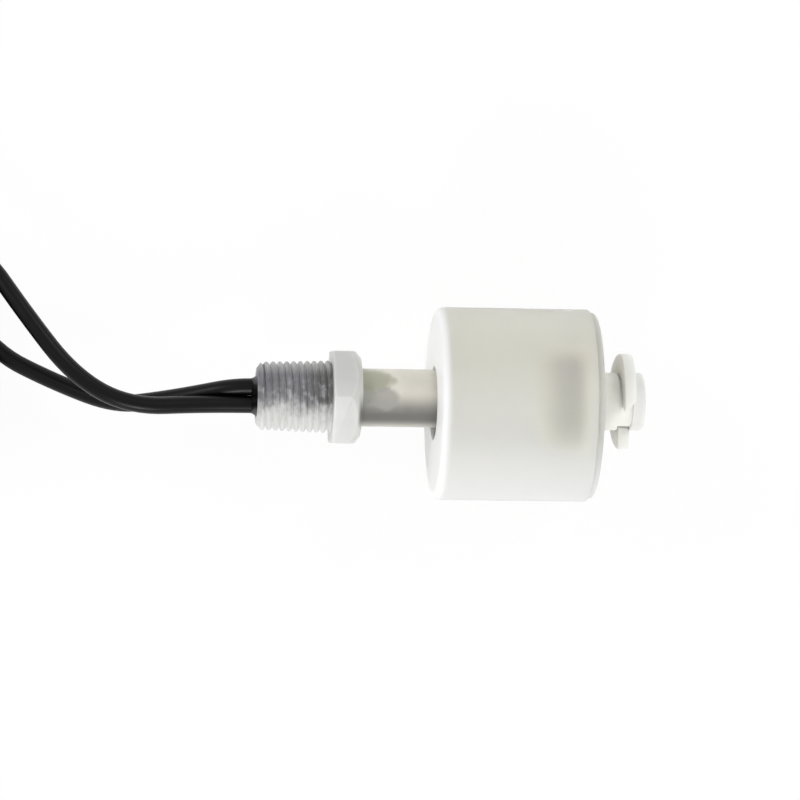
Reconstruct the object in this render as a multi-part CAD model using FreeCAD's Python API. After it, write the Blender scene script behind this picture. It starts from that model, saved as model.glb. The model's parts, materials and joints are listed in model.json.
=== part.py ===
"""Float level switch: a reed switch potted in a threaded stem, and a float with a ring magnet on it.

Millimetres. +X runs along the stem from the threaded end to the tip, +Z is up. The switch lies on its
float: the float's lowest line is at Z 0 and its axis is over Y 0.
"""

import FreeCAD, Part
import os
from math import cos, degrees, pi, radians, sin, sqrt, tan

Vec = FreeCAD.Vector
AXIS = Vec(1, 0, 0)
ORIGIN = Vec(0, 0, 0)

# --- stem moulding ---
STEM_LENGTH = 53.7          # thread end to tip
STEM_R = 4.0
TIP_BEVEL = 0.45
BORE_R = 2.75
TIP_WALL = 3.9              # bore end to tip

# The taper pipe thread (27 turns to the inch) is a cone over its crests here.
THREAD_LENGTH = 10.4        # thread end to hexagon
THREAD_MAJOR_R = 4.993      # at the small end
THREAD_TAPER = 1 / 32       # radius gained for each mm of length
THREAD_BEVEL = 0.6

HEX_THICK = 4.0
HEX_FLATS = 12.7
HEX_CHAMFER_RADIAL = 1.05
HEX_CHAMFER_AXIAL = 0.9

# --- retaining clip, in a groove near the tip ---
CLIP_FROM_TIP = 1.75        # tip to the clip's outer side
CLIP_THICK = 1.5
CLIP_R = 6.6
CLIP_OPENING_DEG = 76
CLIP_OPENING_AT_DEG = 141   # middle of the opening, from +Y over +Z
CLIP_BOW_DEG = 5.0          # the far half is bowed towards the float
CLIP_END_SLANT = 1.5        # slant of the cut end over the clip's thickness
GROOVE_DEPTH = 0.55
CLIP_CLEAR = 0.05

# --- float ---
FLOAT_LENGTH = 22.1
FLOAT_R = 13.3
FLOAT_WALL = 1.1
FLOAT_EDGE_ROUND = 1.3
FLOAT_EDGE_STEPS = 3        # the rounded edge is this many short cones
FLOAT_BORE_R = 5.1
FLOAT_TUBE_WALL = 0.9
FLOAT_FROM_CLIP = 3.75      # the float's place in its travel
STEM_OFF_Y = 0.65           # the stem lies off the float's axis by the play in the float's bore
STEM_OFF_Z = -0.45

CAP_RIM_THICK = 0.9
CAP_RIM_STEP = 0.45
CAP_DISC_THICK = 1.2
CAP_SKIRT = 2.7
CAP_SKIRT_WALL = 0.9
CAP_EDGE_BEVEL = 0.4
CAP_CLEAR = 0.04
COLLAR_WALL = 1.0

# --- ring magnet, loose on the float's tube between its shoulder and the cap's collar ---
MAGNET_LENGTH = 3.75
MAGNET_WALL = 1.2
MAGNET_FROM_END = 2.05      # float's cap end to the magnet
MAGNET_CLEAR = 0.1
SHOULDER_STEP = 0.6

# --- leads ---
LEAD_R = 1.2
LEAD_CORE_R = 0.55
LEAD_GAP = 0.06             # between the two leads at the seal
SEAL_DEPTH = 1.5
SEAL_PROUD = 0.35

# --- reed switch and its joints ---
REED_Y = 1.3                # reed's axis from the stem's axis
REED_Z = 0.8
REED_FROM_BORE_END = 12.0   # bore end to the contacts
GLASS_LENGTH = 14.0
GLASS_R = 1.1
GLASS_WALL = 0.25
GLASS_SEAL = 1.6
GLASS_END_CONE = 0.6
REED_WIRE_R = 0.25
BLADE_WIDTH = 1.1
BLADE_THICK = 0.2
BLADE_OVERLAP = 1.6
CONTACT_GAP = 0.12
JOINT_R = 1.0
JOINT_CONE = 0.5
NEAR_JOINT_FROM = 15.0      # thread end to the joint
NEAR_JOINT_LENGTH = 4.2
FAR_JOINT_LENGTH = 2.2
FAR_JOINT_FROM_END = 0.9    # bore end to the joint
WIRE_GAP = 0.08             # solder between two wires in a joint
WIRE_STEP = 1.2             # length over which a wire steps sideways into the far joint

# --- put-away length of the leads: two round coils, one on the other, held by a tie ---
COIL_X = -79.3
COIL_Y = 6.0
COIL_MIDDLE_R = 13.2
TURN_GAP = 0.05
TIE_THICK = 0.35
TIE_WIDTH = 2.5
TIE_CLEAR = 0.05
TIE_AT_DEG = 180
TIE_HEAD = 3.6
TAIL_B_AT_DEG = 200
TAIL_B_LENGTH = 11.0
BARE_R = 0.6
BARE_LENGTH = 6.0

# --- worked out ---
START_X = (SEAL_PROUD - STEM_LENGTH) / 2
HEX_FRONT = THREAD_LENGTH
HEX_BACK = HEX_FRONT + HEX_THICK
BORE_DEPTH = STEM_LENGTH - TIP_WALL
REED_MIDDLE = BORE_DEPTH - REED_FROM_BORE_END
SHELL_LENGTH = FLOAT_LENGTH - CAP_RIM_THICK
TUBE_R = FLOAT_BORE_R + FLOAT_TUBE_WALL
MAGNET_IN_R = TUBE_R + MAGNET_CLEAR
MAGNET_TO = FLOAT_LENGTH - MAGNET_FROM_END
MAGNET_FROM = MAGNET_TO - MAGNET_LENGTH
CLIP_TO = STEM_LENGTH - CLIP_FROM_TIP
CLIP_FROM = CLIP_TO - CLIP_THICK
FLOAT_FROM = CLIP_FROM - FLOAT_FROM_CLIP - FLOAT_LENGTH
GROOVE_R = STEM_R - GROOVE_DEPTH
STEM_Y = STEM_OFF_Y
STEM_Z = FLOAT_R + STEM_OFF_Z
LEAD_OFF = LEAD_R + LEAD_GAP / 2
EXIT_X = START_X - SEAL_PROUD
GLASS_FROM = REED_MIDDLE - GLASS_LENGTH / 2
GLASS_TO = REED_MIDDLE + GLASS_LENGTH / 2
NEAR_JOINT_TO = NEAR_JOINT_FROM + NEAR_JOINT_LENGTH
FAR_JOINT_TO = BORE_DEPTH - FAR_JOINT_FROM_END
FAR_JOINT_FROM = FAR_JOINT_TO - FAR_JOINT_LENGTH
TURN_STEP = 2 * LEAD_R + TURN_GAP
COIL_IN_R = COIL_MIDDLE_R - TURN_STEP / 2
COIL_OUT_R = COIL_MIDDLE_R + TURN_STEP / 2
COIL_BASE_Z = TIE_THICK + TIE_CLEAR
ROW_Z = [COIL_BASE_Z + LEAD_R + TURN_STEP * row for row in range(5)]

# Lead A leaves on the -Y side, passes over lead B and goes to the upper coil.
ROUTE_A = [
    (EXIT_X, STEM_Y - LEAD_OFF, STEM_Z),
    (-33.7, STEM_Y - LEAD_OFF, STEM_Z),
    (-44.0, -1.15, 14.2),
    (-51.7, 3.0, 13.2),
    (-58.5, 11.6, 12.0),
    (-64.4, 19.9, 9.8),
    (-74.4, 25.6, 7.8),
    (-84.8, 23.0, 6.7),
    (-91.7, 13.2, 6.5),
]

# Lead B leaves on the +Y side, drops faster, passes under lead A and goes to the lower coil.
ROUTE_B = [
    (EXIT_X, STEM_Y + LEAD_OFF, STEM_Z),
    (-32.7, STEM_Y + LEAD_OFF, STEM_Z),
    (-38.1, 1.26, 10.55),
    (-45.7, -1.0, 8.1),
    (-54.0, 2.05, 5.5),
    (-63.0, 6.4, 4.4),
    (-69.4, 16.5, 4.05),
]


# --- helpers ---
def tube_along_x(r_out, r_in, x_from, x_to):
    ring = Part.makeCylinder(r_out, x_to - x_from, Vec(x_from, 0, 0), AXIS)
    if r_in > 0:
        ring = ring.cut(Part.makeCylinder(r_in, x_to - x_from, Vec(x_from, 0, 0), AXIS))
    return ring


def turned(profile):
    """Solid of revolution about X from (x, r) corners given in order round a closed outline."""
    corners = [Vec(x, r, 0) for x, r in profile]
    face = Part.Face(Part.makePolygon(corners + [corners[0]]))
    return face.revolve(ORIGIN, AXIS, 360)


def to_stem(solid):
    solid.translate(Vec(START_X, STEM_Y, STEM_Z))
    return solid


def to_float(solid):
    solid.translate(Vec(START_X + FLOAT_FROM, 0, FLOAT_R))
    return solid


def rounded_path(points):
    """Straight runs joined by tangent arcs, each as large as its two runs allow."""
    points = [Vec(*p) for p in points]
    edges, radii, start = [], [], points[0]
    for before, corner, after in zip(points, points[1:], points[2:]):
        into, out = corner - before, after - corner
        half_turn = into.getAngle(out) / 2
        reach = 0.45 * min(into.Length, out.Length)
        into.normalize()
        out.normalize()
        arc_from, arc_to = corner - into * reach, corner + out * reach
        radius = reach / tan(half_turn)
        inward = (out - into).normalize()
        middle = corner + inward * (radius / cos(half_turn) - radius)
        edges.append(Part.LineSegment(start, arc_from).toShape())
        edges.append(Part.Arc(arc_from, middle, arc_to).toShape())
        radii.append(radius)
        start = arc_to
    edges.append(Part.LineSegment(start, points[-1]).toShape())
    return Part.Wire(edges), radii


def round_rod(points, radius):
    """Round rod along a path, and the path's bend radii."""
    wire, radii = rounded_path(points)
    direction = Vec(*points[1]) - Vec(*points[0])
    disc = Part.Wire(Part.makeCircle(radius, Vec(*points[0]), direction))
    rod = wire.makePipeShell([disc], True, False)
    section = pi * radius ** 2 * wire.Length
    assert abs(rod.Volume / section - 1) < 0.01, "the rod's volume is off"
    return rod, radii


def bent_rod(points, radius):
    """Round rod with mitred corners."""
    points = [Vec(*p) for p in points]
    disc = Part.Wire(Part.makeCircle(radius, points[0], points[1] - points[0]))
    mitred = 1
    return Part.makePolygon(points).makePipeShell([disc], True, False, mitred)


# --- stem ---
def thread():
    """Tapered body over the thread's crests, bevelled at the small end."""
    return turned([
        (0, 0),
        (0, THREAD_MAJOR_R - THREAD_BEVEL),
        (THREAD_BEVEL, THREAD_MAJOR_R + THREAD_BEVEL * THREAD_TAPER),
        (HEX_FRONT, THREAD_MAJOR_R + HEX_FRONT * THREAD_TAPER),
        (HEX_FRONT, 0),
    ])


def hexagon():
    """Hexagon with two flats facing +Y and -Y, turned to a cone on the stem side."""
    corner_r = HEX_FLATS / 2 / cos(radians(30))
    corners = [
        Vec(HEX_FRONT, corner_r * sin(radians(60 * i)), corner_r * cos(radians(60 * i))) for i in range(7)
    ]
    block = Part.Face(Part.makePolygon(corners)).extrude(Vec(HEX_THICK, 0, 0))
    face_r = HEX_FLATS / 2 - HEX_CHAMFER_RADIAL
    slope = HEX_CHAMFER_RADIAL / HEX_CHAMFER_AXIAL
    cone_r = face_r + slope * HEX_THICK
    envelope = Part.makeCone(cone_r, face_r, HEX_THICK, Vec(HEX_FRONT, 0, 0), AXIS)
    return block.common(envelope)


def stem():
    """One moulding: thread, hexagon, tube with a blind bore, clip groove and bevelled tip."""
    groove_from = CLIP_FROM - STEM_R * tan(radians(CLIP_BOW_DEG)) - CLIP_CLEAR
    groove_to = CLIP_TO + CLIP_CLEAR
    rod = turned([
        (HEX_BACK, 0),
        (HEX_BACK, STEM_R),
        (groove_from, STEM_R),
        (groove_from, GROOVE_R),
        (groove_to, GROOVE_R),
        (groove_to, STEM_R),
        (STEM_LENGTH - TIP_BEVEL, STEM_R),
        (STEM_LENGTH, STEM_R - TIP_BEVEL),
        (STEM_LENGTH, 0),
    ])
    body = thread().fuse([hexagon(), rod]).removeSplitter()
    return body.cut(tube_along_x(BORE_R, 0, -1, BORE_DEPTH))


def clip():
    """C-shaped snap ring: the half towards +Z is flat and the half towards -Z is bowed to the float."""
    size = 4 * CLIP_R
    hole_r = GROOVE_R + CLIP_CLEAR
    bowed_hole_r = hole_r + CLIP_THICK * sin(radians(CLIP_BOW_DEG))
    ring = tube_along_x(CLIP_R, hole_r, CLIP_FROM, CLIP_TO)
    upper = Part.makeBox(size, size, size, Vec(CLIP_FROM - size / 2, -size / 2, 0))
    lower = Part.makeBox(size, size, size, Vec(CLIP_FROM - size / 2, -size / 2, -size))
    bowed = tube_along_x(CLIP_R, bowed_hole_r, CLIP_FROM, CLIP_TO).cut(upper)
    bowed.rotate(Vec(CLIP_TO, 0, 0), Vec(0, 1, 0), CLIP_BOW_DEG)
    bowed = bowed.common(lower)
    ring = ring.cut(lower).fuse(bowed).removeSplitter()
    half = radians(CLIP_OPENING_DEG / 2)
    middle = radians(CLIP_OPENING_AT_DEG)
    reach = 2 * CLIP_R
    near_end = middle - half
    far_end = middle + half
    slant = CLIP_END_SLANT / CLIP_R

    def wedge(x, lead):
        low, high = near_end - lead, far_end
        return Part.makePolygon([
            Vec(x, 0, 0),
            Vec(x, reach * cos(low), reach * sin(low)),
            Vec(x, reach * cos((low + high) / 2), reach * sin((low + high) / 2)),
            Vec(x, reach * cos(high), reach * sin(high)),
            Vec(x, 0, 0),
        ])

    margin = CLIP_THICK
    opening = Part.makeLoft(
        [wedge(CLIP_FROM - margin, -slant), wedge(CLIP_TO + margin, slant * 2)], True, True
    )
    return ring.cut(opening)


# --- float and magnet ---
def rounded_edge(x, r, radius, steps):
    """Corners of a rounded edge, from the end face at x to the wall of radius r."""
    angles = [radians(90 * i / steps) for i in range(steps + 1)]
    return [
        (x + radius * (1 - sin(angle)), r - radius * (1 - cos(angle))) for angle in reversed(angles)
    ]


def float_shell():
    """Cup with an end wall and the tube that runs on the stem, stepped to seat the magnet."""
    shoulder_r = TUBE_R + SHOULDER_STEP
    shoulder_at = MAGNET_FROM - MAGNET_CLEAR
    return turned([
        (0, FLOAT_BORE_R),
        *rounded_edge(0, FLOAT_R, FLOAT_EDGE_ROUND, FLOAT_EDGE_STEPS),
        (SHELL_LENGTH, FLOAT_R),
        (SHELL_LENGTH, FLOAT_R - FLOAT_WALL),
        (FLOAT_WALL, FLOAT_R - FLOAT_WALL),
        (FLOAT_WALL, shoulder_r),
        (shoulder_at, shoulder_r),
        (shoulder_at, TUBE_R),
        (FLOAT_LENGTH, TUBE_R),
        (FLOAT_LENGTH, FLOAT_BORE_R),
    ])


def float_cap():
    """Disc that closes the shell, with a skirt inside the wall and a collar that keeps the magnet."""
    skirt_r = FLOAT_R - FLOAT_WALL - CAP_CLEAR
    disc_from = FLOAT_LENGTH - CAP_DISC_THICK
    hole_r = TUBE_R + CAP_CLEAR
    rim_r = FLOAT_R - CAP_RIM_STEP
    return turned([
        (MAGNET_TO + MAGNET_CLEAR, hole_r),
        (FLOAT_LENGTH, hole_r),
        (FLOAT_LENGTH, rim_r - CAP_EDGE_BEVEL),
        (FLOAT_LENGTH - CAP_EDGE_BEVEL, rim_r),
        (SHELL_LENGTH, rim_r),
        (SHELL_LENGTH, skirt_r),
        (SHELL_LENGTH - CAP_SKIRT, skirt_r),
        (SHELL_LENGTH - CAP_SKIRT, skirt_r - CAP_SKIRT_WALL),
        (disc_from, skirt_r - CAP_SKIRT_WALL),
        (disc_from, hole_r + COLLAR_WALL),
        (MAGNET_TO + MAGNET_CLEAR, hole_r + COLLAR_WALL),
    ])


def ring_magnet():
    return tube_along_x(MAGNET_IN_R + MAGNET_WALL, MAGNET_IN_R, MAGNET_FROM, MAGNET_TO)


# --- what is potted in the stem ---
def rod_along_x(y, z, radius, x_from, x_to):
    rod = tube_along_x(radius, 0, x_from, x_to)
    rod.translate(Vec(0, y, z))
    return rod


def coned_rod(y, z, radius, x_from, x_to, cone):
    """Rod with a cone at each end, as long as it is deep."""
    rod = turned([
        (x_from, 0),
        (x_from, radius - cone),
        (x_from + cone, radius),
        (x_to - cone, radius),
        (x_to, radius - cone),
        (x_to, 0),
    ])
    rod.translate(Vec(0, y, z))
    return rod


def lead_stretch(side, x_to):
    """Full section of a lead from the seal's outer face to where its insulation ends."""
    return rod_along_x(side * LEAD_OFF, 0, LEAD_R, -SEAL_PROUD, x_to)


def lead_a_stretch():
    return lead_stretch(-1, FAR_JOINT_FROM - WIRE_STEP - LEAD_CORE_R)


def lead_b_stretch():
    return lead_stretch(1, NEAR_JOINT_FROM - LEAD_CORE_R)


def far_wire_spots():
    """(y, z) of the conductor and of the reed's wire where they lie side by side in the far joint."""
    apart = LEAD_CORE_R + REED_WIRE_R + WIRE_GAP
    slope = sqrt(REED_Y ** 2 + REED_Z ** 2)
    toward_y, toward_z = REED_Y / slope, REED_Z / slope
    shift = REED_WIRE_R
    conductor = (-shift * toward_y, -shift * toward_z)
    return conductor, (conductor[0] + apart * toward_y, conductor[1] + apart * toward_z)


def conductor_a():
    """Long conductor: steps into the far joint, beside the reed's tip wire."""
    spot, _ = far_wire_spots()
    return bent_rod(
        [
            (-SEAL_PROUD, -LEAD_OFF, 0),
            (FAR_JOINT_FROM - WIRE_STEP, -LEAD_OFF, 0),
            (FAR_JOINT_FROM, *spot),
            (FAR_JOINT_TO - JOINT_CONE, *spot),
        ],
        LEAD_CORE_R,
    )


def conductor_b():
    return rod_along_x(LEAD_OFF, 0, LEAD_CORE_R, -SEAL_PROUD, NEAR_JOINT_TO - JOINT_CONE)


def insulation(stretch, conductor):
    return stretch().cut(conductor())


def blade(x_root, x_tip, side):
    """Flat contact blade of a reed; side is +1 or -1 of the reed's axis."""
    length = abs(x_tip - x_root)
    off = side * (CONTACT_GAP + BLADE_THICK) / 2
    corner = Vec(min(x_root, x_tip), REED_Y + off - BLADE_THICK / 2, REED_Z - BLADE_WIDTH / 2)
    return Part.makeBox(length, BLADE_THICK, BLADE_WIDTH, corner)


def near_reed():
    """Wire from the near joint into the glass, flattened to a blade."""
    into = GLASS_FROM + GLASS_SEAL
    wire = rod_along_x(REED_Y, REED_Z, REED_WIRE_R, NEAR_JOINT_FROM + JOINT_CONE, into + REED_WIRE_R)
    return wire.fuse(blade(into, REED_MIDDLE + BLADE_OVERLAP / 2, -1)).removeSplitter()


def far_reed():
    """Wire from the glass that steps over into the far joint, with its blade in the glass."""
    into = GLASS_TO - GLASS_SEAL
    _, spot = far_wire_spots()
    wire = bent_rod(
        [
            (into - REED_WIRE_R, REED_Y, REED_Z),
            (FAR_JOINT_FROM - WIRE_STEP, REED_Y, REED_Z),
            (FAR_JOINT_FROM, *spot),
            (FAR_JOINT_TO - JOINT_CONE, *spot),
        ],
        REED_WIRE_R,
    )
    return wire.fuse(blade(into, REED_MIDDLE - BLADE_OVERLAP / 2, 1)).removeSplitter()


def glass_outside():
    return coned_rod(REED_Y, REED_Z, GLASS_R, GLASS_FROM, GLASS_TO, GLASS_END_CONE)


def reed_glass():
    """Hollow glass capsule, closed on the two wires."""
    cavity = rod_along_x(
        REED_Y, REED_Z, GLASS_R - GLASS_WALL, GLASS_FROM + GLASS_SEAL, GLASS_TO - GLASS_SEAL
    )
    wires = rod_along_x(REED_Y, REED_Z, REED_WIRE_R, GLASS_FROM - 1, GLASS_TO + 1)
    return glass_outside().cut(cavity.fuse(wires))


def near_blob():
    middle_y = (LEAD_OFF + REED_Y) / 2
    middle_z = (REED_Z - REED_WIRE_R) / 2
    return coned_rod(middle_y, middle_z, JOINT_R, NEAR_JOINT_FROM, NEAR_JOINT_TO, JOINT_CONE)


def far_blob():
    return coned_rod(0, 0, JOINT_R, FAR_JOINT_FROM, FAR_JOINT_TO, JOINT_CONE)


def near_joint():
    return near_blob().cut(conductor_b().fuse(near_reed()))


def far_joint():
    return far_blob().cut([conductor_a(), far_reed()])


def resin_fill():
    """Potting that fills the bore behind the seal, round everything in it."""
    fill = tube_along_x(BORE_R, 0, SEAL_DEPTH, BORE_DEPTH)
    held = [
        lead_a_stretch(),
        lead_b_stretch(),
        conductor_a(),
        conductor_b(),
        near_blob(),
        far_blob(),
        glass_outside(),
        near_reed(),
        far_reed(),
    ]
    return fill.cut(held)


def lead_seal():
    """Sealing compound in the bore's mouth, drawn up a little round the two leads."""
    edge_r = LEAD_OFF + LEAD_R + LEAD_GAP
    plug = turned([
        (-SEAL_PROUD, 0),
        (-SEAL_PROUD, edge_r),
        (0, BORE_R),
        (SEAL_DEPTH, BORE_R),
        (SEAL_DEPTH, 0),
    ])
    return plug.cut([lead_a_stretch(), lead_b_stretch()])


# --- leads outside the stem ---
def ring_point(at_deg, radius, z):
    angle = radians(at_deg)
    return Vec(COIL_X + radius * cos(angle), COIL_Y + radius * sin(angle), z)


def ring_section(r_in, r_out, z_low, z_high):
    """Rectangle in the plane through the coils' axis, on its +X side."""
    corners = [
        Vec(COIL_X + r_in, COIL_Y, z_low),
        Vec(COIL_X + r_out, COIL_Y, z_low),
        Vec(COIL_X + r_out, COIL_Y, z_high),
        Vec(COIL_X + r_in, COIL_Y, z_high),
    ]
    return Part.Face(Part.makePolygon(corners + [corners[0]]))


def coil(row):
    """Outer shape of a coil of two rows of turns, the lower of them being the given row."""
    section = ring_section(
        COIL_IN_R - LEAD_R, COIL_OUT_R + LEAD_R, ROW_Z[row] - LEAD_R, ROW_Z[row + 1] + LEAD_R
    )
    return section.revolve(Vec(COIL_X, COIL_Y, 0), Vec(0, 0, 1), 360)


def coil_tie():
    """Strap round both coils, with its locking head on the outside."""
    inner = (
        COIL_IN_R - LEAD_R - TIE_CLEAR,
        COIL_OUT_R + LEAD_R + TIE_CLEAR,
        ROW_Z[0] - LEAD_R - TIE_CLEAR,
        ROW_Z[3] + LEAD_R + TIE_CLEAR,
    )
    outer = (inner[0] - TIE_THICK, inner[1] + TIE_THICK, inner[2] - TIE_THICK, inner[3] + TIE_THICK)
    loop = ring_section(*outer).cut(ring_section(*inner))
    sweep_deg = degrees(TIE_WIDTH / COIL_MIDDLE_R)
    centre = Vec(COIL_X, COIL_Y, 0)
    strap = loop.revolve(centre, Vec(0, 0, 1), sweep_deg)
    strap.rotate(centre, Vec(0, 0, 1), -sweep_deg / 2)
    head_low = (inner[2] + inner[3] - TIE_HEAD) / 2
    head = Part.makeBox(
        TIE_HEAD * 0.7, TIE_HEAD, TIE_HEAD, Vec(COIL_X + inner[1] + TIE_CLEAR, COIL_Y - TIE_HEAD / 2, head_low)
    )
    tie = strap.fuse(head).removeSplitter()
    tie.rotate(centre, Vec(0, 0, 1), TIE_AT_DEG)
    return tie


def tail_a_points():
    """Last stretch of lead A: climbs from the upper coil's top row and lies on it."""
    places = [
        (-25, COIL_OUT_R, ROW_Z[3]),
        (-8, COIL_OUT_R - 0.6, ROW_Z[3] + 0.8),
        (10, COIL_IN_R + 0.5, ROW_Z[4] - 0.3),
        (28, COIL_IN_R, ROW_Z[4]),
        (46, COIL_IN_R, ROW_Z[4]),
    ]
    return [ring_point(*place) for place in places]


def tail_b_points():
    """Last stretch of lead B: runs off the lower coil and comes down on the floor."""
    start = ring_point(TAIL_B_AT_DEG, COIL_OUT_R, ROW_Z[0])
    heading = Vec(-sin(radians(TAIL_B_AT_DEG)), cos(radians(TAIL_B_AT_DEG)), 0)
    end = start + heading * TAIL_B_LENGTH
    end.z = LEAD_R
    return [start, end]


def straight_rod(start, end, radius):
    return Part.makeCylinder(radius, (end - start).Length, start, end - start)


def bare_end(points):
    """Stripped and tinned end, straight on from the last two points of a tail."""
    heading = (points[-1] - points[-2]).normalize()
    return straight_rod(points[-1], points[-1] + heading * BARE_LENGTH, BARE_R)


def lead_rod(name, points):
    rod, radii = round_rod(points, LEAD_R)
    print(name, "bend radii:", ", ".join(f"{radius:.1f}" for radius in radii))
    return rod


def tail_b():
    return straight_rod(*tail_b_points(), LEAD_R)


NODES = {
    "stem": lambda: to_stem(stem()),
    "retaining_clip": lambda: to_stem(clip()),
    "float_shell": lambda: to_float(float_shell()),
    "float_cap": lambda: to_float(float_cap()),
    "ring_magnet": lambda: to_float(ring_magnet()),
    "lead_seal": lambda: to_stem(lead_seal()),
    "resin_fill": lambda: to_stem(resin_fill()),
    "reed_glass": lambda: to_stem(reed_glass()),
    "near_reed": lambda: to_stem(near_reed()),
    "far_reed": lambda: to_stem(far_reed()),
    "near_solder_joint": lambda: to_stem(near_joint()),
    "far_solder_joint": lambda: to_stem(far_joint()),
    "lead_a_insulation": lambda: to_stem(insulation(lead_a_stretch, conductor_a)),
    "lead_a_conductor": lambda: to_stem(conductor_a()),
    "lead_b_insulation": lambda: to_stem(insulation(lead_b_stretch, conductor_b)),
    "lead_b_conductor": lambda: to_stem(conductor_b()),
    "lead_a": lambda: lead_rod("lead A", ROUTE_A),
    "lead_a_coil": lambda: coil(2),
    "lead_a_tail": lambda: lead_rod("tail of lead A", tail_a_points()),
    "lead_a_bare_end": lambda: bare_end(tail_a_points()),
    "lead_b": lambda: lead_rod("lead B", ROUTE_B),
    "lead_b_coil": lambda: coil(0),
    "lead_b_tail": tail_b,
    "lead_b_bare_end": lambda: bare_end(tail_b_points()),
    "coil_tie": coil_tie,
}

os.makedirs("parts", exist_ok=True)
for node, make in NODES.items():
    solid = make()
    assert solid.isValid() and len(solid.Solids) == 1, node
    solid.exportStep(f"parts/{node}.step")
    print(f"{node}: {solid.Volume:.2f} mm3")
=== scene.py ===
"""Visual model of the float level switch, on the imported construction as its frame. Metres."""

import json
from math import cos, pi, radians, sin

import bpy
from mathutils import Matrix, Vector

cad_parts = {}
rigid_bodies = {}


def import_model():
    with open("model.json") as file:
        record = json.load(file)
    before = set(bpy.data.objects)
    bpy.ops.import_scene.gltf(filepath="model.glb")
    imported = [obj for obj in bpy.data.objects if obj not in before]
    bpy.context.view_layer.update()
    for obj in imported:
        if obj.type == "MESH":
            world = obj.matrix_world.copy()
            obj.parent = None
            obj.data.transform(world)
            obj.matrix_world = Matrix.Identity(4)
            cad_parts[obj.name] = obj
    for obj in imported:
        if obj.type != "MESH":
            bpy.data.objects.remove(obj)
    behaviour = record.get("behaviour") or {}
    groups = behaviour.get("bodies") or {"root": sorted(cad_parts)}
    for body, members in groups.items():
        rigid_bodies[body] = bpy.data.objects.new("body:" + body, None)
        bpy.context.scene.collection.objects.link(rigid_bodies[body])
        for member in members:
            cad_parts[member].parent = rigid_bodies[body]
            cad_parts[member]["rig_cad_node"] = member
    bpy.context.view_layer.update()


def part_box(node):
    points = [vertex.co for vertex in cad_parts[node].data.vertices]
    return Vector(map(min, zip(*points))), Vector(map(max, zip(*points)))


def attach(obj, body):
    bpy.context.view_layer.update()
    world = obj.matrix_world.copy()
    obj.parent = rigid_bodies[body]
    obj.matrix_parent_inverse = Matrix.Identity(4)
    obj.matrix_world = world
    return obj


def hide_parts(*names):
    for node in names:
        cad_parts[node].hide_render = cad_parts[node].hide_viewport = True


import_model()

MM = 0.001

# --- places, from the frame ---
stem_low, stem_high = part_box("stem")
bore_low, bore_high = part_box("resin_fill")
float_low, float_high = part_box("float_shell")
cap_low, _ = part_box("float_cap")
magnet_low, magnet_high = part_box("ring_magnet")
seal_low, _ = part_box("lead_seal")
STEM_X = stem_low[0]
STEM_Y = (bore_low[1] + bore_high[1]) / 2
STEM_Z = (bore_low[2] + bore_high[2]) / 2
FLOAT_X = float_low[0]
FLOAT_Z = (float_low[2] + float_high[2]) / 2

# --- sizes of the moulded pieces ---
STEM_LENGTH = stem_high[0] - stem_low[0]
STEM_R = 4.0 * MM
BORE_R = 2.75 * MM
BORE_END = bore_high[0] - STEM_X
THREAD_LENGTH = 10.4 * MM
THREAD_PITCH = 25.4 * MM / 27
THREAD_DEPTH = 0.5 * MM
THREAD_START = 0.25 * MM
THREAD_CREST_R = 4.7 * MM
THREAD_TAPER = 1 / 32
THREAD_STEPS = 8          # straight pieces of one thread's wave
THREAD_SIDES = 72         # steps of one turn
THREAD_EXTRA_TURNS = 6    # cut off again at both ends
HEX_THICK = 4.0 * MM
HEX_FLATS = 12.7 * MM
HEX_BACK = THREAD_LENGTH + HEX_THICK
HEX_CHAMFER_RADIAL = 0.85 * MM
HEX_CHAMFER_SLOPE = 0.85 / 0.75
TIP_ROUND = 0.5 * MM
GROOVE_R = 3.45 * MM
GROOVE_TO = STEM_LENGTH - 1.7 * MM
GROOVE_FROM = GROOVE_TO - 1.95 * MM
FLOAT_R = 13.3 * MM
FLOAT_LENGTH = float_high[0] - float_low[0]
FLOAT_WALL = 1.1 * MM
FLOAT_EDGE = 1.3 * MM
TUBE_R = 6.0 * MM
TUBE_BORE_R = 5.1 * MM
SHOULDER_R = 6.6 * MM
SHELL_LENGTH = FLOAT_LENGTH - 0.9 * MM
SHELL_LIP_ROUND = 0.15 * MM
SHELL_INNER_ROUND = 0.5 * MM
CAP_RIM_R = 12.85 * MM
CAP_EDGE_ROUND = 0.4 * MM
CAP_DISC_THICK = 1.2 * MM
CAP_WALL = 0.9 * MM
CAP_CLEAR = 0.04 * MM
COLLAR_WALL = 1.0 * MM
MAGNET_IN_R, MAGNET_OUT_R = 6.1 * MM, 7.3 * MM
MAGNET_CLEAR = 0.1 * MM
SEAL_EDGE_R = 2.42 * MM
SEAL_PROUD = 0.6 * MM
SEAL_DEPTH = 1.4 * MM
SEAL_CLEAR = 0.01 * MM
SEAL_FLATTENED = 0.42      # share of its height that the seal loses at its outer edge

# --- leads ---
LEAD_R = 1.2 * MM
LEAD_OFF = 1.205 * MM
EXIT_X = seal_low[0]
COIL_X, COIL_Y = -79.3 * MM, 6.0 * MM
COIL_IN_R, COIL_OUT_R = 11.975 * MM, 14.425 * MM
ROW_Z = [1.6 * MM, 4.05 * MM, 6.5 * MM, 8.95 * MM, 11.4 * MM]
ENTER_A, ENTER_B = 150, 46.5    # degrees round the coil where each lead joins it
CHANGE = 35                     # degrees over which a lead changes row or layer
LAST_A = 335
TAIL_B_AT = 200
TAIL_B_LENGTH = 11 * MM
TURN_POINTS = 24

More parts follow.
